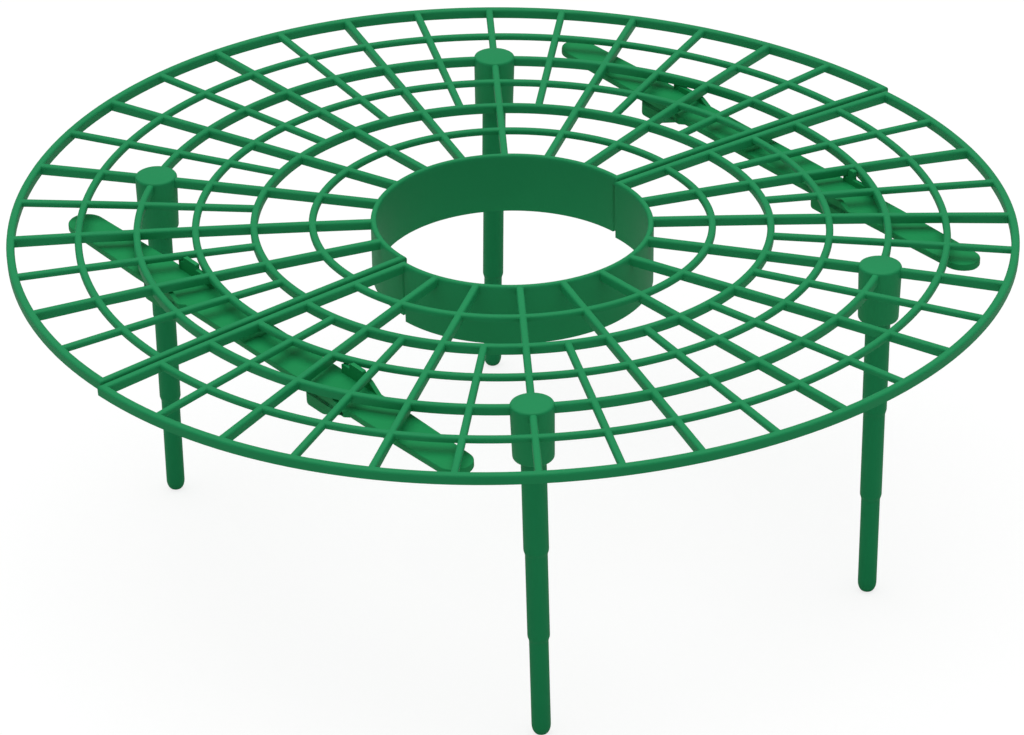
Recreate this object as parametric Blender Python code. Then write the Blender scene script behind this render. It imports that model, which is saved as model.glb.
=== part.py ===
"""Strawberry growing rack: a round plastic grid in two halves on four stepped legs.

The two half grids are one moulding used twice. They meet along the X axis, stand on
legs pushed up into four closed sockets, and are held together from below by two long
straps whose clips stand up between the bars. The grid is slightly bowed, so its rim
hangs lowest at the ends of the split, and sockets, legs and straps lean with it.
Metres, +Z up. The origin is on the ground, midway between the four leg tips, under the
middle of the collar.
"""
import math

import bmesh
import bpy
import numpy as np

# Driving dimensions of the half grid
RACK_RADIUS = 0.150            # outside of the rim
RIM_WIDTH = 0.0026
RIM_DEPTH = 0.0031
BAR_WIDTH = 0.0023             # every ring and radial bar, seen from above
HEAVY_DEPTH = 0.0029           # major radials, rings 2 and 4 and the split edge
LIGHT_DEPTH = 0.0018           # minor radials and rings 1, 3 and 5
FIRST_RING_RADIUS = 0.0591     # centre line of the first ring outside the collar
RING_PITCH = 0.01737           # from one ring to the next
RING_COUNT = 5                 # rings between the collar and the rim
COLLAR_BORE_RADIUS = 0.0400    # the plant's stem and crown pass through here
COLLAR_WALL = 0.0018
COLLAR_DEPTH = 0.0190          # below the top of the grid
SECTOR_COUNT = 10              # sectors between major radials in one half
SPLIT_GAP = 0.0012             # slit between the two halves
HALF_SLIP = 0.0010             # each half sits this far along the split line
GRID_BOW = 0.0037              # how far the rim hangs down at the ends of the split
BAR_DRAFT = 0.05               # side taper of the bars, per unit of depth
COLLAR_DRAFT = 0.008

# Driving dimensions of the sockets
SOCKET_TOP_RADIUS = 0.0064
SOCKET_MOUTH_RADIUS = 0.0060
SOCKET_DEPTH = 0.0173
SOCKET_ROOF = 0.0020           # closed top, measured down from the top of the grid
SOCKET_CROWN = 0.0004          # how far the closed top stands above the bars
SOCKET_CHAMFER = 0.0012
SOCKET_RING = 4                # the ring that carries the sockets
SOCKET_SECTORS = (3, 7)        # at the third and the seventh major radial of a half

# Driving dimensions of the legs
LEG_LENGTH = 0.1070
UPPER_RADIUS = 0.00368
MIDDLE_RADIUS = 0.00326
LOWER_RADIUS = 0.00282
LOWER_LENGTH = 0.0323          # from the tip to the lower shoulder
MIDDLE_LENGTH = 0.0288         # from the lower shoulder to the upper one
SHOULDER_HEIGHT = 0.0014
LEG_CHAMFER = 0.0006
TIP_HEIGHT = 0.0032
TIP_FLAT_RADIUS = 0.0012
PEG_CLEARANCE = 0.0003         # all round the peg and above its end

# Driving dimensions of the straps
STRAP_LENGTH = 0.195
STRAP_WIDTH = 0.0126
STRAP_END_WIDTH = 0.0106
STRAP_TAPER_LENGTH = 0.040
STRAP_THICKNESS = 0.0022
STRAP_DROP = 0.0050            # top of the strap, below the top of the grid
STRAP_FROM_MIDDLE = 0.0955     # its centre line, from the middle of the rack
STRAP_SHIFT_X = 0.0012         # both straps sit this far to the right in their cells
STRAP_SHIFT_Y = -0.0026        # and this far towards the front
CLIP_FLARE = 0.0014            # the left wall of a clip stands this far beside the bar
CLIP_LENGTH = 0.0180           # side wall of a clip, along the strap
CLIP_FOOT_LENGTH = 0.0080      # the part of it that reaches lowest
CLIP_CREST_LENGTH = 0.0130     # the part of it that stands highest
CLIP_WALL = 0.0014
CLIP_DEPTH = 0.0105            # lowest edge, below the top of the grid
CLIP_SEAT = 0.0003             # between the clip walls and the bars above them
HORN_TOP = 0.0004              # horns of the right walls stand up between the bars to here
LEFT_STRAP_HORNS = ((0.0039, 0.0063), (0.0024, 0.0065))   # front and back clip: distance
RIGHT_STRAP_HORNS = ((0.0022, 0.0023), (0.0, 0.0))        # from the upright end, and length

# How finely round shapes are divided
LEG_SEGMENTS = 20
SOCKET_SEGMENTS = 24
END_SEGMENTS = 8
TIP_STEPS = 3

# Worked out from the dimensions above
HALF_OFFSET = (SPLIT_GAP + BAR_WIDTH) / 2
MAJOR_ANGLE = math.pi / SECTOR_COUNT
MINOR_ANGLE = MAJOR_ANGLE / 2
RING_RADII = [FIRST_RING_RADIUS + RING_PITCH * k for k in range(RING_COUNT)]
SOCKET_CIRCLE = RING_RADII[SOCKET_RING - 1]
LEG_REACH = SOCKET_ROOF + PEG_CLEARANCE + LEG_LENGTH   # grid top to tip, along a leg
CUT_MARGIN = 0.002             # how far a cutter runs past what it cuts

GREEN = (0.036, 0.246, 0.098, 1.0)
SLEEVE_GREEN = (0.030, 0.215, 0.086, 1.0)


def clear_scene():
    """Remove every object, so that the model starts from nothing."""
    for thing in list(bpy.data.objects):
        bpy.data.objects.remove(thing, do_unlink=True)


def sag(x):
    """How far the bowed grid hangs below its middle, at a distance along the split."""
    return GRID_BOW * (x / RACK_RADIUS) ** 2


def lean(x):
    """The slope of the bowed grid there, as an angle."""
    return math.atan(2 * GRID_BOW * x / RACK_RADIUS ** 2)


def grid_top():
    """Height of the middle of the grid, when the leg tips just reach the ground."""
    x = SOCKET_CIRCLE * math.cos(SOCKET_SECTORS[0] * MAJOR_ANGLE)
    return sag(x) + LEG_REACH * math.cos(lean(x)) + TIP_FLAT_RADIUS * abs(math.sin(lean(x)))


def plastic(name, colour):
    """Moulded polypropylene in one colour."""
    material = bpy.data.materials.new(name)
    material.use_nodes = True
    shader = material.node_tree.nodes["Principled BSDF"]
    shader.inputs["Base Color"].default_value = colour
    shader.inputs["Roughness"].default_value = 0.42
    shader.inputs["Metallic"].default_value = 0.0
    return material


def mesh_from(name, points, faces):
    """A closed mesh with its faces turned outwards."""
    body = bmesh.new()
    corners = [body.verts.new(point) for point in points]
    for face in faces:
        body.faces.new([corners[index] for index in face])
    bmesh.ops.recalc_face_normals(body, faces=body.faces)
    mesh = bpy.data.meshes.new(name)
    body.to_mesh(mesh)
    body.free()
    return mesh


def turned(name, profile, segments):
    """Turn a profile of (radius, height) points round the Z axis into a closed solid."""
    body = bmesh.new()
    corners = [body.verts.new((radius, 0.0, height)) for radius, height in profile]
    edges = [body.edges.new(pair) for pair in zip(corners, corners[1:])]
    bmesh.ops.spin(body, geom=corners + edges, cent=(0, 0, 0), axis=(0, 0, 1),
                   angle=math.tau, steps=segments, use_merge=True)
    bmesh.ops.remove_doubles(body, verts=body.verts, dist=1e-6)
    bmesh.ops.recalc_face_normals(body, faces=body.faces)
    mesh = bpy.data.meshes.new(name)
    body.to_mesh(mesh)
    body.free()
    return mesh


def extruded(name, outline, low, high, axes):
    """Extrude a flat outline between two distances.

    axes gives, for the outline's two coordinates and the extrusion, which of X, Y and Z
    each one runs along.
    """
    count = len(outline)
    points = []
    for distance in (low, high):
        for first, second in outline:
            point = [0.0, 0.0, 0.0]
            point[axes[0]] = first
            point[axes[1]] = second
            point[axes[2]] = distance
            points.append(point)
    faces = [list(range(count)), list(range(count, 2 * count))]
    for index in range(count):
        after = (index + 1) % count
        faces.append([index, after, count + after, count + index])
    return mesh_from(name, points, faces)


def placed(name, mesh, material, location=(0, 0, 0), turn=0.0, tilt=0.0):
    """Put a named object in the scene, tilted about its own Y and then turned about Z."""
    thing = bpy.data.objects.new(name, mesh)
    bpy.context.collection.objects.link(thing)
    thing.location = location
    thing.rotation_euler = (0.0, tilt, turn)
    if material and not mesh.materials:
        mesh.materials.append(material)
    return thing


def tool(name, mesh, location=(0, 0, 0), tilt=0.0):
    """A shape that only serves a Boolean."""
    thing = placed(name, mesh, None, location, tilt=tilt)
    thing.hide_render = True
    thing.display_type = "WIRE"
    return thing


def combine(thing, other, operation):
    """Add a Boolean with another object."""
    modifier = thing.modifiers.new(other.name, "BOOLEAN")
    modifier.operation = operation
    modifier.solver = "EXACT"
    modifier.object = other


def finished_mesh(thing):
    """The object's mesh after its Booleans, with smooth round sides; helpers are removed."""
    helpers = [modifier.object for modifier in thing.modifiers]
    graph = bpy.context.evaluated_depsgraph_get()
    mesh = bpy.data.meshes.new_from_object(thing.evaluated_get(graph))
    for helper in helpers + [thing]:
        bpy.data.objects.remove(helper, do_unlink=True)
    mesh.materials.clear()
    mesh.shade_smooth()
    mesh.set_sharp_from_angle(angle=math.radians(30))
    return mesh


def is_heavy_ring(ring):
    """Rings 2 and 4 are as deep as the major radials."""
    return ring > 0 and ring % 2 == 0


def ring_band(ring, depth):
    """Inner and outer radius of a ring at a depth below its top. Ring 0 is the collar."""
    if ring == 0:
        shrink = COLLAR_DRAFT * depth
        return COLLAR_BORE_RADIUS + shrink, COLLAR_BORE_RADIUS + COLLAR_WALL - shrink
    if ring == RING_COUNT + 1:
        shrink = BAR_DRAFT * depth
        return RACK_RADIUS - RIM_WIDTH + shrink, RACK_RADIUS - shrink
    half = BAR_WIDTH / 2 - BAR_DRAFT * depth
    centre = RING_RADII[ring - 1]
    return centre - half, centre + half


def ring_depth(ring):
    """How far a ring reaches below the top of the grid."""
    if ring == 0:
        return COLLAR_DEPTH
    if ring == RING_COUNT + 1:
        return RIM_DEPTH
    return HEAVY_DEPTH if is_heavy_ring(ring) else LIGHT_DEPTH


def bar_depth(bar):
    """Bars are counted every minor angle; the even ones are the major radials."""
    return HEAVY_DEPTH if bar % 2 == 0 else LIGHT_DEPTH


def bar_crosses(bar, row):
    """Whether a bar bridges the row of openings outside ring number row."""
    return bar % 2 == 0 or row >= 2


def half_grid_mesh():
    """The bowed grid and its collar, as a field of columns with one depth each.

    Radial lines and ring lines cut the plan into small four-sided fields. A field is
    open, or solid from the top of the grid down to its own depth. Walls stand where two
    fields differ. Bars and rings narrow towards their undersides. At its first bar the
    collar starts one bar's width back, so the split shows as a slit in the collar.
    """
    bars = range(2 * SECTOR_COUNT + 1)
    ring_lines = [(ring, side) for ring in range(RING_COUNT + 2) for side in (0, 1)]
    spokes = []
    for bar in bars:
        spokes += [(bar, -1), (bar, 1)]
        if bar != bars[-1]:
            spokes.append((bar, 0))

    def corner(line, spoke, depth):
        """The point where a ring line meets a radial line, at a depth."""
        ring, side = ring_lines[line]
        bar, edge = spokes[spoke]
        radius = ring_band(ring, min(depth, ring_depth(ring)))[side]
        if edge == 0:
            angle = (bar + 0.5) * MINOR_ANGLE
            x = radius * math.cos(angle)
            return x, radius * math.sin(angle), -sag(x) - depth
        across = edge * (BAR_WIDTH / 2 - BAR_DRAFT * min(depth, bar_depth(bar)))
        along = math.sqrt(radius * radius - across * across)
        angle = bar * MINOR_ANGLE
        x = along * math.cos(angle) - across * math.sin(angle)
        y = along * math.sin(angle) + across * math.cos(angle)
        return x, y, -sag(x) - depth

    def field_depth(line, spoke):
        """Depth of the field outside this ring line and past this radial line."""
        if not (0 <= line < len(ring_lines) - 1 and 0 <= spoke < len(spokes) - 1):
            return 0.0
        ring, side = ring_lines[line]
        bar, edge = spokes[spoke]
        on_bar = edge == -1
        if side == 1:
            return bar_depth(bar) if on_bar and bar_crosses(bar, ring) else 0.0
        if not on_bar:
            return ring_depth(ring)
        if ring == 0 and bar == 0:
            return bar_depth(bar)
        meets_bar = bar_crosses(bar, ring) or (ring > 0 and bar_crosses(bar, ring - 1))
        return max(ring_depth(ring), bar_depth(bar) if meets_bar else 0.0)

    points = []
    number_of = {}
    faces = []

    def number(line, spoke, depth):
        key = (line, spoke, round(depth, 7))
        if key not in number_of:
            number_of[key] = len(points)
            points.append(corner(line, spoke, depth))
        return number_of[key]

    def levels(line, spoke, low, high):
        """Depths strictly between two levels at which a field beside this corner ends."""
        around = {field_depth(line - a, spoke - b) for a in (0, 1) for b in (0, 1)}
        return sorted(depth for depth in around if low < depth < high)

    def wall(first, second, depth_a, depth_b):
        """The upright face between two fields of unlike depth."""
        low, high = sorted((depth_a, depth_b))
        if low == high:
            return
        down = [number(*first, depth) for depth in [low, *levels(*first, low, high), high]]
        up = [number(*second, depth) for depth in [low, *levels(*second, low, high), high]]
        faces.append(down + up[::-1])

    for line in range(len(ring_lines)):
        for spoke in range(len(spokes)):
            here = field_depth(line, spoke)
            square = [(line, spoke), (line + 1, spoke), (line + 1, spoke + 1), (line, spoke + 1)]
            if here > 0:
                faces.append([number(*place, 0.0) for place in square])
                faces.append([number(*place, here) for place in square])
            if spoke < len(spokes) - 1:
                wall((line, spoke), (line, spoke + 1), here, field_depth(line - 1, spoke))
            if line < len(ring_lines) - 1:
                wall((line, spoke), (line + 1, spoke), here, field_depth(line, spoke - 1))
    return mesh_from("half grid lattice", points, faces)


def socket_place(sector):
    """Where a socket's top stands in the half grid's own frame."""
    angle = sector * MAJOR_ANGLE
    x = SOCKET_CIRCLE * math.cos(angle)
    return x, SOCKET_CIRCLE * math.sin(angle), -sag(x)


def half_grid():
    """The lattice with its closed-top sockets and their blind bores."""
    grid = placed("lattice", half_grid_mesh(), None)
    shell_profile = [
        (0.0, SOCKET_CROWN),
        (SOCKET_TOP_RADIUS - SOCKET_CROWN, SOCKET_CROWN),
        (SOCKET_TOP_RADIUS, 0.0),
        (SOCKET_MOUTH_RADIUS, SOCKET_CHAMFER - SOCKET_DEPTH),
        (SOCKET_MOUTH_RADIUS - SOCKET_CHAMFER, -SOCKET_DEPTH),
        (0.0, -SOCKET_DEPTH),
    ]
    bore_radius = UPPER_RADIUS + PEG_CLEARANCE
    bore_profile = [
        (0.0, -SOCKET_ROOF),
        (bore_radius, -SOCKET_ROOF),
        (bore_radius, -SOCKET_DEPTH - CUT_MARGIN),
        (0.0, -SOCKET_DEPTH - CUT_MARGIN),
    ]
    shell = turned("socket shell", shell_profile, SOCKET_SEGMENTS)
    bore = turned("socket bore", bore_profile, SOCKET_SEGMENTS)
    places = [socket_place(sector) for sector in SOCKET_SECTORS]
    for place in places:
        combine(grid, tool("shell", shell, place, lean(place[0])), "UNION")
    for place in places:
        combine(grid, tool("bore", bore, place, lean(place[0])), "DIFFERENCE")
    return finished_mesh(grid)


def leg_mesh():
    """A stepped leg with two shoulders and a blunt rounded tip, turned in one piece."""
    lower_shoulder = LOWER_LENGTH
    upper_shoulder = LOWER_LENGTH + MIDDLE_LENGTH
    profile = [(0.0, 0.0)]
    for step in range(TIP_STEPS + 1):
        angle = math.pi / 2 * step / TIP_STEPS
        radius = TIP_FLAT_RADIUS + (LOWER_RADIUS - TIP_FLAT_RADIUS) * math.sin(angle)
        profile.append((radius, TIP_HEIGHT * (1 - math.cos(angle))))
    profile += [
        (LOWER_RADIUS, lower_shoulder - SHOULDER_HEIGHT / 2),
        (MIDDLE_RADIUS, lower_shoulder + SHOULDER_HEIGHT / 2),
        (MIDDLE_RADIUS, upper_shoulder - SHOULDER_HEIGHT / 2),
        (UPPER_RADIUS, upper_shoulder + SHOULDER_HEIGHT / 2),
        (UPPER_RADIUS, LEG_LENGTH - LEG_CHAMFER),
        (UPPER_RADIUS - LEG_CHAMFER, LEG_LENGTH),
        (0.0, LEG_LENGTH),
    ]
    mesh = turned("stepped leg", profile, LEG_SEGMENTS)
    mesh.shade_smooth()
    mesh.set_sharp_from_angle(angle=math.radians(30))
    return mesh


def clip_reach():
    """How far the middle of a clip is from the split, before the shift along the strap.

    A clip stands in the cell between rings 3 and 4, and between the first major radial
    and the minor one after it.
    """
    radius = (RING_RADII[2] + RING_RADII[3]) / 2
    return radius * math.sin(MAJOR_ANGLE + MINOR_ANGLE / 2) + HALF_OFFSET


def strap_edge(clip_places, flare):
    """One side of the strap in plan, from its front tip to its back tip.

    Beside each clip it stands out by the flare.
    """
    half = STRAP_WIDTH / 2
    end = STRAP_LENGTH / 2
    end_half = STRAP_END_WIDTH / 2
    edge = []
    for step in range(END_SEGMENTS + 1):
        angle = math.pi / 2 * step / END_SEGMENTS
        edge.append((end_half * math.sin(angle), -end + end_half * (1 - math.cos(angle))))
    edge.append((half, -end + STRAP_TAPER_LENGTH))
    if flare:
        for place in clip_places:
            front = place - CLIP_LENGTH / 2
            back = place + CLIP_LENGTH / 2
            edge += [(half, front - flare), (half + flare, front)]
            edge += [(half + flare, back), (half, back + flare)]
    edge.append((half, end - STRAP_TAPER_LENGTH))
    for step in range(END_SEGMENTS + 1):
        angle = math.pi / 2 * (1 - step / END_SEGMENTS)
        edge.append((end_half * math.sin(angle), end - end_half * (1 - math.cos(angle))))
    return edge


def strap_outline(clip_places):
    """Plan of the strap: slim bar, wider on its left at each clip, with rounded ends."""
    right = strap_edge(clip_places, 0.0)
    left = [(-x, y) for x, y in strap_edge(clip_places, CLIP_FLARE)]
    return right + left[-2:0:-1]


def clip_wall_outline(place, bar_above, setback, horn):
    """Side view of a clip wall: an upright end towards +Y and a tapering one towards -Y.

    Its crest runs just below a bar of the given depth. From the crest a horn of the given
    length stands up between the bars.
    """
    top = -(bar_above + CLIP_SEAT)
    upright = place + CLIP_LENGTH / 2
    tail = place - CLIP_LENGTH / 2
    outline = [
        (upright, top),
        (upright, -CLIP_DEPTH + CLIP_WALL),
        (upright - CLIP_WALL, -CLIP_DEPTH),
        (upright - CLIP_FOOT_LENGTH, -CLIP_DEPTH),
        (tail, -STRAP_DROP - STRAP_THICKNESS * 2 / 3),
        (tail, -STRAP_DROP - STRAP_THICKNESS / 3),
        (upright - CLIP_CREST_LENGTH, top),
    ]
    if horn:
        outline += [
            (upright - setback - horn, top),
            (upright - setback - horn, -HORN_TOP),
            (upright - setback, -HORN_TOP),
            (upright - setback, top),
        ]
    return outline


def strap_mesh(reach, bar_above, horns):
    """The bar of the strap, with two walls for each of its two clips.

    The right walls reach up to the ring above them and carry the horns.
    """
    low = -STRAP_DROP - STRAP_THICKNESS
    outline = strap_outline((-reach, reach))
    bar = placed("bar", extruded("strap bar", outline, low, -STRAP_DROP, (0, 1, 2)), None)
    left = -STRAP_WIDTH / 2 - CLIP_FLARE
    right = STRAP_WIDTH / 2 - CLIP_WALL
    for place, (setback, horn) in zip((-reach, reach), horns):
        left_view = clip_wall_outline(place, HEAVY_DEPTH, 0.0, 0.0)
        right_view = clip_wall_outline(place, bar_above, setback, horn)
        for start, side_view in ((left, left_view), (right, right_view)):
            wall = extruded("wall", side_view, start, start + CLIP_WALL, (1, 2, 0))
            combine(bar, tool("wall", wall), "UNION")
    return finished_mesh(bar)


def build():
    """Place the two halves, four legs and two straps."""
    clear_scene()
    green = plastic("green polypropylene", GREEN)
    leg_green = plastic("green polypropylene leg", SLEEVE_GREEN)
    top = grid_top()

    grid = half_grid()
    leg = leg_mesh()
    for name, side, turn in (("back", 1, 0.0), ("front", -1, math.pi)):
        centre = (side * HALF_SLIP, side * HALF_OFFSET, top)
        placed(name + "_half_grid", grid, green, centre, turn)
        for sector in SOCKET_SECTORS:
            x, y, z = socket_place(sector)
            tilt = lean(side * x)
            place = (
                side * (x + HALF_SLIP) - LEG_REACH * math.sin(tilt),
                side * (y + HALF_OFFSET),
                top + z - LEG_REACH * math.cos(tilt),
            )
            hand = "right" if place[0] > 0 else "left"
            placed(f"{hand}_{name}_leg", leg, leg_green, place, tilt=tilt)

    reach = clip_reach()
    turn = -math.atan2(HALF_SLIP, reach)
    for hand, side, ring_above, horns in (
        ("right", 1, HEAVY_DEPTH, RIGHT_STRAP_HORNS),
        ("left", -1, LIGHT_DEPTH, LEFT_STRAP_HORNS),
    ):
        x = side * STRAP_FROM_MIDDLE
        place = (x + STRAP_SHIFT_X, STRAP_SHIFT_Y, top - sag(x))
        strap = strap_mesh(math.hypot(reach, HALF_SLIP), ring_above, horns)
        placed(hand + "_strap", strap, green, place, turn, lean(x))


build()
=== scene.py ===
"""Looks of the strawberry growing rack: rounded bars, sockets, legs and clip-on straps.

Every piece is worked out as whole arrays, in metres, in the same frame as the solids: the
origin is on the ground under the middle of the collar and the split runs along X.
"""
import math

import bpy
import numpy as np
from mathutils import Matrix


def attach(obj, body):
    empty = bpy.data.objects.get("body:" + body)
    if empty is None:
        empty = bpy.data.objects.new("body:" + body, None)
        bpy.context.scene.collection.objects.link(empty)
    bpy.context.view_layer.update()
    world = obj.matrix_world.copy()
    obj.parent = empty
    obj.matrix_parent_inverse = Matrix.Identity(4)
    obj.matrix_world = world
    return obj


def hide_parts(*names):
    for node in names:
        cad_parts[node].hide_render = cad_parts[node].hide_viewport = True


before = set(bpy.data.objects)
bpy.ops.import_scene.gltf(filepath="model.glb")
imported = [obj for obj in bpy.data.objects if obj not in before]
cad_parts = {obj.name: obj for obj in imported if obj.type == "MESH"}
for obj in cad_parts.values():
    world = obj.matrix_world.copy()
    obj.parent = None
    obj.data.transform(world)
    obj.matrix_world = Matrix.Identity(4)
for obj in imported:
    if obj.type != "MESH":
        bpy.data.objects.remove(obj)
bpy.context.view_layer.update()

# Sizes of the solids, repeated here
RACK_RADIUS = 0.150
RIM_WIDTH, RIM_DEPTH = 0.0026, 0.0031
BAR_WIDTH = 0.0023
HEAVY_DEPTH, LIGHT_DEPTH = 0.0029, 0.0018
FIRST_RING_RADIUS, RING_PITCH, RING_COUNT = 0.0591, 0.01737, 5
COLLAR_BORE_RADIUS, COLLAR_WALL, COLLAR_DEPTH = 0.0400, 0.0018, 0.0190
SECTOR_COUNT = 10
SPLIT_GAP, HALF_SLIP, GRID_BOW = 0.0012, 0.0010, 0.0037
BAR_DRAFT, COLLAR_DRAFT = 0.05, 0.008
GRID_TOP = 0.110003
SOCKET_TOP_RADIUS, SOCKET_MOUTH_RADIUS, SOCKET_BORE_RADIUS = 0.0064, 0.0060, 0.00398
SOCKET_DEPTH, SOCKET_ROOF, SOCKET_CROWN = 0.0173, 0.0020, 0.0004
SOCKET_SECTORS = (3, 7)
LEG_LENGTH, PEG_CLEARANCE = 0.1070, 0.0003
UPPER_RADIUS, MIDDLE_RADIUS, LOWER_RADIUS = 0.00368, 0.00326, 0.00282
LOWER_LENGTH, MIDDLE_LENGTH, SHOULDER_HEIGHT = 0.0323, 0.0288, 0.0014
TIP_HEIGHT, TIP_FLAT_RADIUS = 0.0032, 0.0012
STRAP_LENGTH, STRAP_WIDTH, STRAP_END_WIDTH = 0.195, 0.0126, 0.0106
STRAP_TAPER_LENGTH, STRAP_THICKNESS, STRAP_DROP = 0.040, 0.0022, 0.0050
STRAP_FROM_MIDDLE, STRAP_SHIFT_X, STRAP_SHIFT_Y = 0.0955, 0.0012, -0.0026
CLIP_FLARE, CLIP_LENGTH, CLIP_FOOT_LENGTH, CLIP_CREST_LENGTH = 0.0014, 0.0180, 0.0080, 0.0130
CLIP_WALL, CLIP_DEPTH, CLIP_SEAT, HORN_TOP = 0.0014, 0.0105, 0.0003, 0.0004
LEFT_STRAP_HORNS = ((0.0039, 0.0063), (0.0024, 0.0065))
RIGHT_STRAP_HORNS = ((0.0022, 0.0023), (0.0, 0.0))

HALF_OFFSET = (SPLIT_GAP + BAR_WIDTH) / 2
SECTOR_ANGLE = math.pi / SECTOR_COUNT
SOCKET_RING, MINOR_BARS_FROM_RING = 4, 2
SOCKET_CIRCLE = FIRST_RING_RADIUS + (SOCKET_RING - 1) * RING_PITCH
SOCKET_CUTBACK = 0.0050        # the bars end inside the socket's wall, this far from its axis
TOP_ROUNDING = 0.0009          # radius on the upper edges of the bars, which are almost round
BAR_ROUNDING = 0.0004          # radius on their lower edges and in the corners of the cells
STRAP_ROUNDING = 0.0003
STRAP_EDGE = 0.00039           # radius along the edges of a strap's flat bar
STRAP_END_SLIVER = 1e-5        # keeps the last section of the bar open: a share, squared

# How far each corner of a profile is cut back, in the order of its corners
SOCKET_CUTS = (0, 0.0003, 0.0004, 0.0010, 0.0010, 0)
LEG_CUTS = (0, 0.0004, 0.0004, 0.0004, 0.0004, 0.0006, 0)
WALL_CUTS = (0, 0, 0.0012, 0.0012, 0.0004)
HORN_CUTS = (0.0004, 0.0005, 0.0005, 0.0004)
CREST_CUT = 0.0012
SAME_POINT = 1e-7              # points of a profile that lie closer together count as one

# How finely the curves are divided
TOP_STEPS = 4                  # over the rounding of a bar
ARC_STEPS = 5                  # between two neighbouring bars
TURN_STEPS = 48                # round a leg or a socket
TIP_STEPS = 9                  # over the tip of a leg
END_STEPS = 13                 # over the round end of a strap
BAR_STATIONS = 30              # along half a strap
CORNER_STEPS = 5               # over the edge of a strap or a cut corner of a profile
BEVEL_STEPS = 3                # over the other rounded edges
SMOOTH_ANGLE = math.radians(40)   # an edge that turns more than this is a real edge


# Surfaces

def sag(x):
    """Bow of the grid: its middle stands highest and it falls with the square of x."""
    return GRID_BOW * (x / RACK_RADIUS) ** 2


def lean(x):
    """Slope of the bow at x, as an angle."""
    return math.atan(2 * GRID_BOW * x / RACK_RADIUS ** 2)


def stood(points, place, tilt=0.0, turn=0.0):
    """Points tilted about Y, then turned about Z, then moved to a place."""
    ct, st, cz, sz = math.cos(tilt), math.sin(tilt), math.cos(turn), math.sin(turn)
    tilting = np.array([[ct, 0, st], [0, 1, 0], [-st, 0, ct]])
    turning = np.array([[cz, -sz, 0], [sz, cz, 0], [0, 0, 1]])
    return points @ (turning @ tilting).T + np.array(place)


def together(*shapes):
    """Several closed shapes in one: point lists end to end, face numbers moved along."""
    points, faces, count = [], [], 0
    for shape_points, shape_faces in shapes:
        points.append(shape_points)
        faces += [[corner + count for corner in face] for face in shape_faces]
        count += len(shape_points)
    return np.vstack(points), faces


def turned(profile):
    """A surface of revolution: the point (r cos t, r sin t, z), with r and z along the
    profile and t round the axis. The profile starts and ends on the axis, and each of
    those two points is a pole with a fan of triangles."""
    radius, height = np.asarray(profile).T
    t = np.arange(TURN_STEPS) * math.tau / TURN_STEPS
    r, z = radius[1:-1, None], height[1:-1, None]
    rings = np.stack([r * np.cos(t), r * np.sin(t), z + 0 * t], axis=-1).reshape(-1, 3)
    points = np.vstack([[0, 0, height[0]], rings, [0, 0, height[-1]]])
    number = 1 + np.arange(len(rings)).reshape(-1, TURN_STEPS)
    after = np.roll(number, -1, axis=1)
    sides = np.stack([number[:-1], after[:-1], after[1:], number[1:]], axis=-1).reshape(-1, 4)
    pole = np.zeros(TURN_STEPS, int)
    first = np.stack([pole, after[0], number[0]], axis=-1)
    last = np.stack([number[-1], after[-1], pole + len(points) - 1], axis=-1)
    return points, sides.tolist() + first.tolist() + last.tolist()


def eased(corners, cuts):
    """A profile with each corner cut back along both its sides and bridged by a quadratic
    curve, (1-t)^2 A + 2t(1-t) P + t^2 B, whose ends A and B lie on the sides."""
    p = np.asarray(corners, float)
    before, behind = np.roll(p, 1, axis=0), np.roll(p, -1, axis=0)
    cut = np.asarray(cuts, float)[:, None]
    a = p + (before - p) * cut / np.linalg.norm(before - p, axis=1, keepdims=True)
    b = p + (behind - p) * cut / np.linalg.norm(behind - p, axis=1, keepdims=True)
    t = np.linspace(0, 1, CORNER_STEPS)[None, :, None]
    curve = (1 - t) ** 2 * a[:, None] + 2 * t * (1 - t) * p[:, None] + t ** 2 * b[:, None]
    line = curve.reshape(-1, 2)
    apart = np.linalg.norm(np.diff(line, axis=0), axis=1) > SAME_POINT
    return line[np.concatenate([[True], apart])]


def carried(sections):
    """A closed skin over sections of equal point count, one row of points each, with both
    end sections closed by a flat cap."""
    rows, count = sections.shape[:2]
    number = np.arange(rows * count).reshape(rows, count)
    after = np.roll(number, -1, axis=1)
    sides = np.stack([number[:-1], number[1:], after[1:], after[:-1]], axis=-1)
    caps = [number[0].tolist(), number[-1][::-1].tolist()]
    return sections.reshape(-1, 3), sides.reshape(-1, 4).tolist() + caps


def skin(filled):
    """The quads between full and empty cells of a block of cells, each facing the empty
    side. The third direction of the block runs downwards."""
    number = np.arange(np.prod(np.array(filled.shape) + 1)).reshape(np.array(filled.shape) + 1)
    padded = np.pad(filled.astype(int), 1)
    quads = []
    for axis in range(3):
        order = (axis, (axis + 1) % 3, (axis + 2) % 3)
        step = np.diff(padded.transpose(order), axis=0)[:, 1:-1, 1:-1]
        n = number.transpose(order)
        quad = np.stack([n[:, :-1, :-1], n[:, 1:, :-1], n[:, 1:, 1:], n[:, :-1, 1:]], axis=-1)
        quads += [quad[step == 1], quad[step == -1][:, ::-1]]
    return np.vstack(quads)


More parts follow.
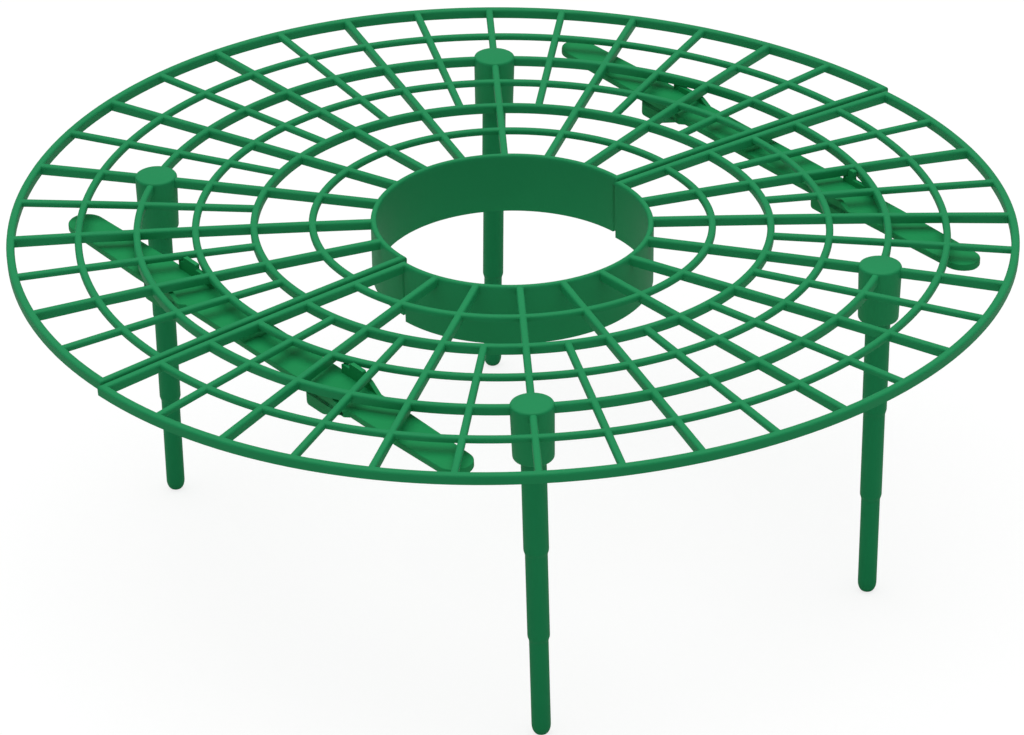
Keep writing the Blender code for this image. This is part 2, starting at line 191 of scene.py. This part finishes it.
def lattice():
    """Half the grid and half the collar as a block of cells, in the half's own frame.

    The block is cut by ring lines (index i), radial lines (j) and levels (k). A cell is
    full where a ring or a bar reaches down past it. A radial line beside bar b stands at
    the angle b m - d or b m + d, where m is half a sector and sin d is half the bar's
    width over the radius; the lines between two bars share out what is left. The corner
    (i, j, k) is (r cos a, r sin a, -bow(x) - depth). The upper edges are quarter circles:
    at the depth R (1 - cos t) a bar is R (1 - sin t) narrower on each side, and the
    collar, whose wall is thinner, by its share of that.
    """
    t = np.linspace(0, math.pi / 2, TOP_STEPS + 1)
    rounded, inset = TOP_ROUNDING * (1 - np.cos(t)), TOP_ROUNDING * (1 - np.sin(t))
    reach = np.concatenate([rounded, [LIGHT_DEPTH, HEAVY_DEPTH, COLLAR_DEPTH]])
    inset = np.concatenate([inset, np.zeros(3)])
    light, heavy, collar = TOP_STEPS + 1, TOP_STEPS + 2, TOP_STEPS + 3
    rings = np.arange(RING_COUNT + 2)
    ring_level = np.where(rings % 2, light, heavy)
    ring_level[0] = collar
    inner = FIRST_RING_RADIUS + RING_PITCH * (rings - 1) - BAR_WIDTH / 2
    outer = inner + BAR_WIDTH
    inner[0], outer[0] = COLLAR_BORE_RADIUS, COLLAR_BORE_RADIUS + COLLAR_WALL
    inner[-1], outer[-1] = RACK_RADIUS - RIM_WIDTH, RACK_RADIUS
    drafts = np.where(rings == 0, COLLAR_DRAFT, BAR_DRAFT)

    # Ring lines: the two edges of each ring, and one more on each side of the socket ring
    radius = np.concatenate([np.stack([inner, outer], axis=-1).ravel(),
                             [SOCKET_CIRCLE - SOCKET_CUTBACK, SOCKET_CIRCLE + SOCKET_CUTBACK]])
    ring = np.concatenate([np.repeat(rings, 2), [SOCKET_RING - 1, SOCKET_RING]])
    inward = np.concatenate([np.tile([1, -1], len(rings)), [0, 0]])
    order = np.argsort(radius)
    radius, ring, inward = radius[order], ring[order], inward[order]
    on_ring = inward[:-1] == 1

    # Radial lines: the first edge of each bar, then equal shares of the space behind it
    bars = np.arange(2 * SECTOR_COUNT + 1)
    bar = np.repeat(bars, ARC_STEPS + 1)
    share = np.tile(np.concatenate([[-1], np.arange(ARC_STEPS) / ARC_STEPS]), len(bars))
    bar, share = bar[:-(ARC_STEPS - 1)], share[:-(ARC_STEPS - 1)]
    on_bar = share[:-1] == -1
    bar_level = np.where(bars % 2, light, heavy)

    # Levels, and the cells that are full
    row, column = ring[:-1, None], bar[None, :-1]
    barred = on_bar & ((column % 2 == 0) | (row >= MINOR_BARS_FROM_RING))
    of_ring, of_bar = ring_level[row], bar_level[column]
    level = np.where(on_ring[:, None],
                     np.where(barred, np.maximum(of_ring, of_bar), of_ring),
                     np.where(barred, of_bar, 0))
    level[0, 0] = bar_level[0]      # the collar starts one bar's width back from the split

    # The sockets stand in the grid: no bar within their walls, one share to each side
    near_ring = np.abs((radius[:-1] + radius[1:]) / 2 - SOCKET_CIRCLE) < SOCKET_CUTBACK
    past = bar[:-1] + np.where(on_bar, 0, share[:-1] + 0.5 / ARC_STEPS)
    near_bar = np.abs(past[:, None] - 2 * np.array(SOCKET_SECTORS)) < 1.0 / ARC_STEPS
    level[np.ix_(near_ring, near_bar.any(axis=1))] = 0
    filled = level[:, :, None] > np.arange(len(reach) - 1)

    # Corners
    depth = np.broadcast_to(reach, (len(radius), len(reach))).copy()
    depth[ring == rings[-1], heavy] = RIM_DEPTH
    ring_reach = np.where(ring == rings[-1], RIM_DEPTH, reach[ring_level[ring]])[:, None]
    taper = drafts[ring][:, None] * np.minimum(depth, ring_reach)
    ring_inset = np.where(ring == 0, COLLAR_WALL / BAR_WIDTH, 1.0)[:, None] * inset
    r = radius[:, None] + inward[:, None] * (taper + ring_inset)
    r, depth = r[:, None, :], depth[:, None, :]
    b, s = bar[None, :, None], share[None, :, None]

    def half_width(which):
        return BAR_WIDTH / 2 - BAR_DRAFT * np.minimum(depth, reach[bar_level[which]]) - inset

    minor = SECTOR_ANGLE / 2
    following = np.minimum(b + 1, bars[-1])
    here = np.arcsin(half_width(b) / r)
    there = np.arcsin(half_width(following) / r)
    angle = np.where(s == -1, b * minor - here,
                     (1 - s) * (b * minor + here) + s * ((b + 1) * minor - there))
    x, y = r * np.cos(angle), r * np.sin(angle)
    corners = np.stack([x, y, -sag(x) - depth], axis=-1).reshape(-1, 3)
    quads = skin(filled)
    used, compact = np.unique(quads, return_inverse=True)
    return corners[used], compact.reshape(quads.shape).tolist()


def socket_place(sector):
    """Where a socket's top stands in the half grid's own frame."""
    angle = sector * SECTOR_ANGLE
    x = SOCKET_CIRCLE * math.cos(angle)
    return x, SOCKET_CIRCLE * math.sin(angle), -sag(x)


def socket():
    """A closed-top sleeve turned round its own axis: from the roof of its bore, down the
    bore, round the mouth, up the tapering outside and over the crown."""
    corners = [(0, -SOCKET_ROOF), (SOCKET_BORE_RADIUS, -SOCKET_ROOF),
               (SOCKET_BORE_RADIUS, -SOCKET_DEPTH), (SOCKET_MOUTH_RADIUS, -SOCKET_DEPTH),
               (SOCKET_TOP_RADIUS, SOCKET_CROWN), (0, SOCKET_CROWN)]
    return turned(eased(corners, SOCKET_CUTS))


def half_grid(side):
    """The lattice and its two leaning sockets. The front half is the back one turned."""
    sockets = []
    for sector in SOCKET_SECTORS:
        points, faces = socket()
        place = socket_place(sector)
        sockets.append((stood(points, place, lean(place[0])), faces))
    points, faces = together(lattice(), *sockets)
    turn = 0.0 if side > 0 else math.pi
    return stood(points, (side * HALF_SLIP, side * HALF_OFFSET, GRID_TOP), turn=turn), faces


def leg(side, sector):
    """A stepped leg turned round its own axis, from its blunt tip over two sloping
    shoulders to the end of its peg, and leaning as the bowed grid does there."""
    lower, upper = LOWER_LENGTH, LOWER_LENGTH + MIDDLE_LENGTH
    bend = SHOULDER_HEIGHT / 2
    t = np.linspace(0, math.pi / 2, TIP_STEPS)
    tip = np.stack([TIP_FLAT_RADIUS + (LOWER_RADIUS - TIP_FLAT_RADIUS) * np.sin(t),
                    TIP_HEIGHT * (1 - np.cos(t))], axis=-1)
    shaft = eased([(LOWER_RADIUS, TIP_HEIGHT), (LOWER_RADIUS, lower - bend),
                   (MIDDLE_RADIUS, lower + bend), (MIDDLE_RADIUS, upper - bend),
                   (UPPER_RADIUS, upper + bend), (UPPER_RADIUS, LEG_LENGTH),
                   (0, LEG_LENGTH)], LEG_CUTS)
    points, faces = turned(np.vstack([[0, 0], tip, shaft[1:]]))
    x, y, z = socket_place(sector)
    tilt = lean(side * x)
    reach = SOCKET_ROOF + PEG_CLEARANCE + LEG_LENGTH
    place = (side * (x + HALF_SLIP) - reach * math.sin(tilt), side * (y + HALF_OFFSET),
             GRID_TOP + z - reach * math.cos(tilt))
    return stood(points, place, tilt), faces


def clip_reach():
    """How far the middle of a clip is from the split, measured across the split. A clip
    stands in the cell between the third ring and the fourth, and between the first major
    bar and the minor one after it."""
    radius = FIRST_RING_RADIUS + 2.5 * RING_PITCH
    return radius * math.sin(1.25 * SECTOR_ANGLE) + HALF_OFFSET


def strap_bar(reach):
    """The flat bar: a rounded rectangle carried along Y, whose half widths follow the plan.
    It flares to the left at the clips, tapers past them and ends in half circles, where
    each half width is times sqrt(1 - p^2), with p the share of the tip that is passed."""
    end, flat, tip = STRAP_LENGTH / 2, STRAP_WIDTH / 2, STRAP_END_WIDTH / 2
    flared = flat + CLIP_FLARE
    foot, crest = CLIP_LENGTH / 2 + CLIP_FLARE, CLIP_LENGTH / 2
    knots = [0, reach - foot, reach - crest, reach + crest, reach + foot]
    knots_y = np.array(knots + [end - STRAP_TAPER_LENGTH, end])
    knots_left = np.array([flat, flat, flared, flared, flat, flat, tip])
    knots_right = np.array([flat, flat, flat, flat, flat, flat, tip])
    t = np.linspace(0, math.pi / 2, END_STEPS)
    stations = np.concatenate([knots_y[:-1], end - tip * (1 - np.sin(t)),
                               np.linspace(0, end - tip, BAR_STATIONS)])
    stations = np.unique(np.round(stations, 7))     # no two of them within 0.1 micrometre
    y = np.concatenate([-stations[:0:-1], stations])
    past = np.clip((np.abs(y) - (end - tip)) / tip, 0, 1)
    closing = np.sqrt(np.maximum(1 - past ** 2, STRAP_END_SLIVER))
    left = (np.interp(np.abs(y), knots_y, knots_left) * closing)[:, None]
    right = (np.interp(np.abs(y), knots_y, knots_right) * closing)[:, None]
    corner = math.pi / 2 * np.arange(4)[:, None] + np.linspace(0, math.pi / 2, CORNER_STEPS)
    sign_x = np.array([1, -1, -1, 1])[:, None] + 0 * corner
    sign_z = np.array([1, 1, -1, -1])[:, None] + 0 * corner
    c, s, sx, sz = (values.ravel()[None, :] for values in
                    (np.cos(corner), np.sin(corner), sign_x, sign_z))
    w = np.where(sx > 0, right, left)
    edge = np.minimum(0.9 * w, STRAP_EDGE)      # at its very tip the bar is too narrow for it
    x = (w - edge) * sx + edge * c
    z = (STRAP_THICKNESS / 2 - STRAP_EDGE) * sz + STRAP_EDGE * s
    z = z - STRAP_DROP - STRAP_THICKNESS / 2
    return carried(np.stack([x, y[:, None] + 0 * x, z + 0 * x], axis=-1))


def slab(outline, low, high):
    """A flat outline in Y and Z carried along X from low to high."""
    line = np.asarray(outline, float)
    x = np.array([low, high])[:, None] + 0 * line[None, :, 0]
    points, faces = carried(np.stack([x, line[None, :, 0] + 0 * x, line[None, :, 1] + 0 * x],
                                     axis=-1))
    return points, [face[::-1] for face in faces]


def clip_wall(place, bar_above, setback, horn):
    """Side view of a clip wall: an upright end towards +Y and a tapering one towards -Y.
    Its crest runs just below a bar; a horn stands up from the crest between the bars."""
    top = -(bar_above + CLIP_SEAT)
    upright, tail = place + CLIP_LENGTH / 2, place - CLIP_LENGTH / 2
    corners = [(tail, -STRAP_DROP - STRAP_THICKNESS / 3),
               (tail, -STRAP_DROP - STRAP_THICKNESS * 2 / 3),
               (upright - CLIP_FOOT_LENGTH, -CLIP_DEPTH), (upright, -CLIP_DEPTH),
               (upright, top)]
    cuts = WALL_CUTS
    if horn:
        near = upright - setback
        far = near - horn
        corners += [(near, top), (near, -HORN_TOP), (far, -HORN_TOP), (far, top)]
        cuts += HORN_CUTS
    corners.append((upright - CLIP_CREST_LENGTH, top))
    return eased(corners, cuts + (CREST_CUT,))


def strap(hand):
    """The bar of the strap with two walls for each of its two clips. The right walls reach
    up to the ring above them and carry the horns."""
    side, ring_above, horns = {"right": (1, HEAVY_DEPTH, RIGHT_STRAP_HORNS),
                               "left": (-1, LIGHT_DEPTH, LEFT_STRAP_HORNS)}[hand]
    reach = math.hypot(clip_reach(), HALF_SLIP)
    left = -STRAP_WIDTH / 2 - CLIP_FLARE
    right = STRAP_WIDTH / 2 - CLIP_WALL
    shapes = [strap_bar(reach)]
    for place, horn in zip((-reach, reach), horns):
        shapes.append(slab(clip_wall(place, HEAVY_DEPTH, 0.0, 0.0), left, left + CLIP_WALL))
        shapes.append(slab(clip_wall(place, ring_above, *horn), right, right + CLIP_WALL))
    points, faces = together(*shapes)
    x = side * STRAP_FROM_MIDDLE
    turn = -math.atan2(HALF_SLIP, clip_reach())
    place = (x + STRAP_SHIFT_X, STRAP_SHIFT_Y, GRID_TOP - sag(x))
    return stood(points, place, lean(x), turn), faces


def moulded(name, shape, material, rounding=0.0):
    """Put a piece in the scene, with its moulded edges rounded over."""
    points, faces = shape
    mesh = bpy.data.meshes.new(name)
    mesh.from_pydata(points.tolist(), [], faces)
    mesh.materials.append(material)
    piece = bpy.data.objects.new(name, mesh)
    bpy.context.collection.objects.link(piece)
    mesh.shade_smooth()
    if rounding:
        bevel = piece.modifiers.new("moulded edges", "BEVEL")
        bevel.width = rounding
        bevel.segments = BEVEL_STEPS
        bevel.limit_method = "ANGLE"
        bevel.angle_limit = SMOOTH_ANGLE
        bevel.harden_normals = True
    else:
        mesh.set_sharp_from_angle(angle=SMOOTH_ANGLE)
    return piece


# Materials

PIGMENT_CLOUD = 0.025          # how far the pigment drifts as the plastic fills the mould
PEEL_WIDTH = 0.0007            # mould texture, really 0.1 mm wide, drawn wider so that it shows
PEEL_HEIGHT = 0.0001
PLASTIC_INDEX = 1.49
SKIN_GLOSS = 0.12              # the skin scatters, so it mirrors less than its index would give


def linear(hex_colour):
    """An sRGB hex colour as a linear RGBA value."""
    parts = [int(hex_colour[i:i + 2], 16) / 255 for i in (1, 3, 5)]
    return [p / 12.92 if p <= 0.04045 else ((p + 0.055) / 1.055) ** 2.4 for p in parts] + [1.0]


def node(tree, kind, settings=None, **links):
    """Add a node; settings are its properties, links its input values or source sockets."""
    new = tree.nodes.new(kind)
    for name, value in (settings or {}).items():
        setattr(new, name, value)
    for name, value in links.items():
        socket_in = new.inputs[int(name[1:]) if name[1:].isdigit() else name.replace("_", " ")]
        if isinstance(value, bpy.types.NodeSocket):
            tree.links.new(value, socket_in)
        else:
            socket_in.default_value = value
    return new


def seen_rays(tree):
    """1 for the rays that the camera sees, also through glass, and 0 for all others."""
    path = node(tree, "ShaderNodeLightPath")
    return node(tree, "ShaderNodeMath", {"operation": "MAXIMUM"},
                _0=path.outputs["Is Camera Ray"],
                _1=path.outputs["Is Transmission Ray"]).outputs[0]


def moulded_polypropylene(name, colour, flow_colour, roughness):
    """Injection-moulded polypropylene, coloured in the mass: a soft satin surface with a
    faint cloudy flow of the pigment and the fine orange-peel of a spark-worn mould."""
    material = bpy.data.materials.new(name)
    material.use_nodes = True
    tree = material.node_tree
    shader = tree.nodes["Principled BSDF"]
    where = node(tree, "ShaderNodeTexCoord").outputs["Object"]
    flow = node(tree, "ShaderNodeTexNoise", Vector=where, Scale=1 / PIGMENT_CLOUD, Detail=2.0)
    tone = node(tree, "ShaderNodeMix", {"data_type": "RGBA"}, _0=flow.outputs["Fac"],
                _6=linear(colour), _7=linear(flow_colour))
    tree.links.new(tone.outputs[2], shader.inputs["Base Color"])
    peel = node(tree, "ShaderNodeTexNoise", Vector=where, Scale=1 / PEEL_WIDTH, Detail=1.0)
    bump = node(tree, "ShaderNodeBump", Strength=0.12, Distance=PEEL_HEIGHT,
                Height=peel.outputs["Fac"])
    tree.links.new(bump.outputs["Normal"], shader.inputs["Normal"])
    shader.inputs["Specular IOR Level"].default_value = SKIN_GLOSS
    shader.inputs["Roughness"].default_value = roughness
    shader.inputs["IOR"].default_value = PLASTIC_INDEX
    return material


def seen_white(name, colour, shade_colour, glow):
    """A matt pale surface that lights the object with its own colour. To the camera it
    glows up to white, and its shade colour still takes the object's shadow."""
    material = bpy.data.materials.new(name)
    material.use_nodes = True
    tree = material.node_tree
    tree.nodes.clear()
    seen = seen_rays(tree)
    tone = node(tree, "ShaderNodeMix", {"data_type": "RGBA"}, _0=seen,
                _6=linear(colour), _7=linear(shade_colour))
    matt = node(tree, "ShaderNodeBsdfDiffuse", Color=tone.outputs[2])
    part = node(tree, "ShaderNodeMath", {"operation": "MULTIPLY"}, _0=seen, _1=glow)
    light = node(tree, "ShaderNodeEmission", Color=(1, 1, 1, 1), Strength=part.outputs[0])
    both = node(tree, "ShaderNodeAddShader", _0=matt.outputs[0], _1=light.outputs[0])
    out = node(tree, "ShaderNodeOutputMaterial")
    tree.links.new(both.outputs[0], out.inputs["Surface"])
    return material


grid_plastic = moulded_polypropylene("moulded polypropylene, garden green",
                                     "#1F9159", "#1B8852", 0.52)
# The strap's copy of the plastic is more saturated than the grid's. This is painted bounce
# light: the green light that bounces off the bars and passes through them onto the strap below.
strap_plastic_with_painted_bounce = moulded_polypropylene("moulded polypropylene, garden green strap",
                                      "#1A9153", "#17884D", 0.56)
leg_plastic = moulded_polypropylene("moulded polypropylene, garden green leg",
                                    "#178D56", "#158550", 0.50)


# Pieces

for hand, side in (("back", 1), ("front", -1)):
    piece = moulded(hand + "_half_grid_moulding", half_grid(side), grid_plastic, BAR_ROUNDING)
    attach(piece, "grid")
    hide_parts(hand + "_half_grid")
    for sector in SOCKET_SECTORS:
        across = "right" if side * math.cos(sector * SECTOR_ANGLE) > 0 else "left"
        name = f"{across}_{hand}_leg"
        piece = moulded(name + "_moulding", leg(side, sector), leg_plastic)
        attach(piece, name + "_body")
        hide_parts(name)

for hand in ("right", "left"):
    piece = moulded(hand + "_strap_moulding", strap(hand), strap_plastic_with_painted_bounce, STRAP_ROUNDING)
    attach(piece, hand + "_strap_body")
    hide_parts(hand + "_strap")


# Floor, light and camera

FLOOR_REACH = 6.0
FLOOR_GLOW = 0.785             # what the paper adds for the camera, to come out just white
ROOM_LIGHT, ROOM_SEEN = 0.33, 1.0          # how bright the room is, and how bright it looks
CEILING_WIDTH, CEILING_TILT = math.radians(75), math.radians(-4)
CEILING_POWER, CEILING_HEIGHT = 2.2, 2.0
CAMERA_PLACE = (-0.92786, -1.16969, 0.87226)
CAMERA_TURN = [math.radians(angle) for angle in (61.432, 0.5652, -38.711)]
CAMERA_LENS, CAMERA_SENSOR, CAMERA_SIGHT = 198.31, 36.0, 50.0

floor_corners = [(x * FLOOR_REACH, y * FLOOR_REACH, 0)
                 for x, y in ((-1, -1), (1, -1), (1, 1), (-1, 1))]
floor_mesh = bpy.data.meshes.new("floor")
floor_mesh.from_pydata(floor_corners, [], [(0, 1, 2, 3)])
floor_mesh.materials.append(seen_white("matt white paper", "#CBCDCB", "#868686",
                                       FLOOR_GLOW))
floor = bpy.data.objects.new("floor", floor_mesh)
bpy.context.collection.objects.link(floor)

world = bpy.data.worlds.new("studio")
bpy.context.scene.world = world
world.use_nodes = True
tree = world.node_tree
tree.nodes.clear()
dim = node(tree, "ShaderNodeBackground", Color=(1, 1, 1, 1), Strength=ROOM_LIGHT)
white = node(tree, "ShaderNodeBackground", Color=(1, 1, 1, 1), Strength=ROOM_SEEN)
mix = node(tree, "ShaderNodeMixShader", _0=seen_rays(tree), _1=dim.outputs[0],
           _2=white.outputs[0])
out = node(tree, "ShaderNodeOutputWorld")
tree.links.new(mix.outputs[0], out.inputs["Surface"])

# A wide soft ceiling of light, a little behind overhead, that lights the floor evenly
ceiling = bpy.data.lights.new("soft ceiling", "SUN")
ceiling.angle = CEILING_WIDTH
ceiling.energy = CEILING_POWER
lamp = bpy.data.objects.new("soft ceiling", ceiling)
bpy.context.collection.objects.link(lamp)
lamp.location = (0, 0, CEILING_HEIGHT)
lamp.rotation_euler = (CEILING_TILT, 0, 0)

# The camera stands where the crossings of the bars lie as they do in the photo
camera_data = bpy.data.cameras.new("camera")
camera_data.lens = CAMERA_LENS
camera_data.sensor_width = CAMERA_SENSOR
camera_data.clip_end = CAMERA_SIGHT
camera = bpy.data.objects.new("camera", camera_data)
bpy.context.collection.objects.link(camera)
camera.location = CAMERA_PLACE
camera.rotation_euler = CAMERA_TURN
bpy.context.scene.camera = camera
bpy.context.scene.view_settings.view_transform = "Standard"
